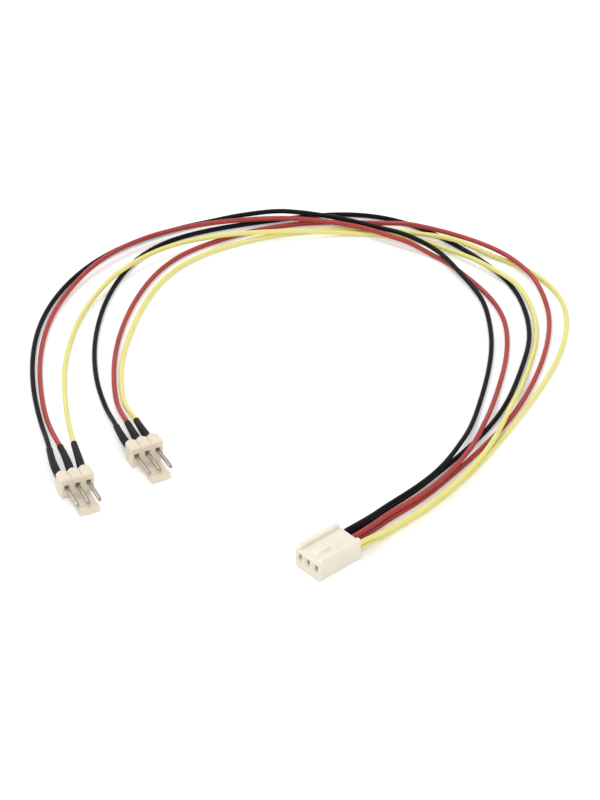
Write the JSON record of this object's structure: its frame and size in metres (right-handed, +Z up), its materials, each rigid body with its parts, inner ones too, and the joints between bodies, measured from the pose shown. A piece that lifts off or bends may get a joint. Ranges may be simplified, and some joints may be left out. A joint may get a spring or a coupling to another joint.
{
  "type": "fan splitter cable",
  "caption": "Splitter cable with a keyed wire-end socket feeding a pair of keyed pin plugs through loose coloured wires lying in an open loop.",
  "frame": {"origin": "middle of the box round the three connectors and their sleeves, on the surface that the cable lies on; the loose wires aren't counted", "axes": "+X to the right, from the two plugs towards the socket; +Y away from the viewer, into the loop of wires; +Z up"},
  "size_m": [0.1208, 0.1336, 0.0054],
  "materials": {
    "ivory_nylon": "moulded, satin",
    "beige_nylon": "moulded, slightly translucent satin",
    "tinned_brass": "tin plated, bright",
    "shrunk_sleeve": "matte black",
    "black_insulation": "soft sheen",
    "red_insulation": "soft sheen",
    "yellow_insulation": "soft sheen"
  },
  "bodies": {
    "root": {"socket_housing": "ivory_nylon", "socket_terminal_1": "tinned_brass", "socket_terminal_2": "tinned_brass", "socket_terminal_3": "tinned_brass", "plug_left_body": "beige_nylon", "plug_left_pin_1": "tinned_brass", "plug_left_pin_2": "tinned_brass", "plug_left_pin_3": "tinned_brass", "plug_left_sleeve_1": "shrunk_sleeve", "plug_left_sleeve_2": "shrunk_sleeve", "plug_left_sleeve_3": "shrunk_sleeve", "wire_black_left": "black_insulation", "wire_red_left": "red_insulation", "wire_yellow_left": "yellow_insulation", "plug_right_body": "beige_nylon", "plug_right_pin_1": "tinned_brass", "plug_right_pin_2": "tinned_brass", "plug_right_pin_3": "tinned_brass", "plug_right_sleeve_1": "shrunk_sleeve", "plug_right_sleeve_2": "shrunk_sleeve", "plug_right_sleeve_3": "shrunk_sleeve", "wire_black_right": "black_insulation", "wire_red_right": "red_insulation", "wire_yellow_right": "yellow_insulation"}
  },
  "joints": []
}
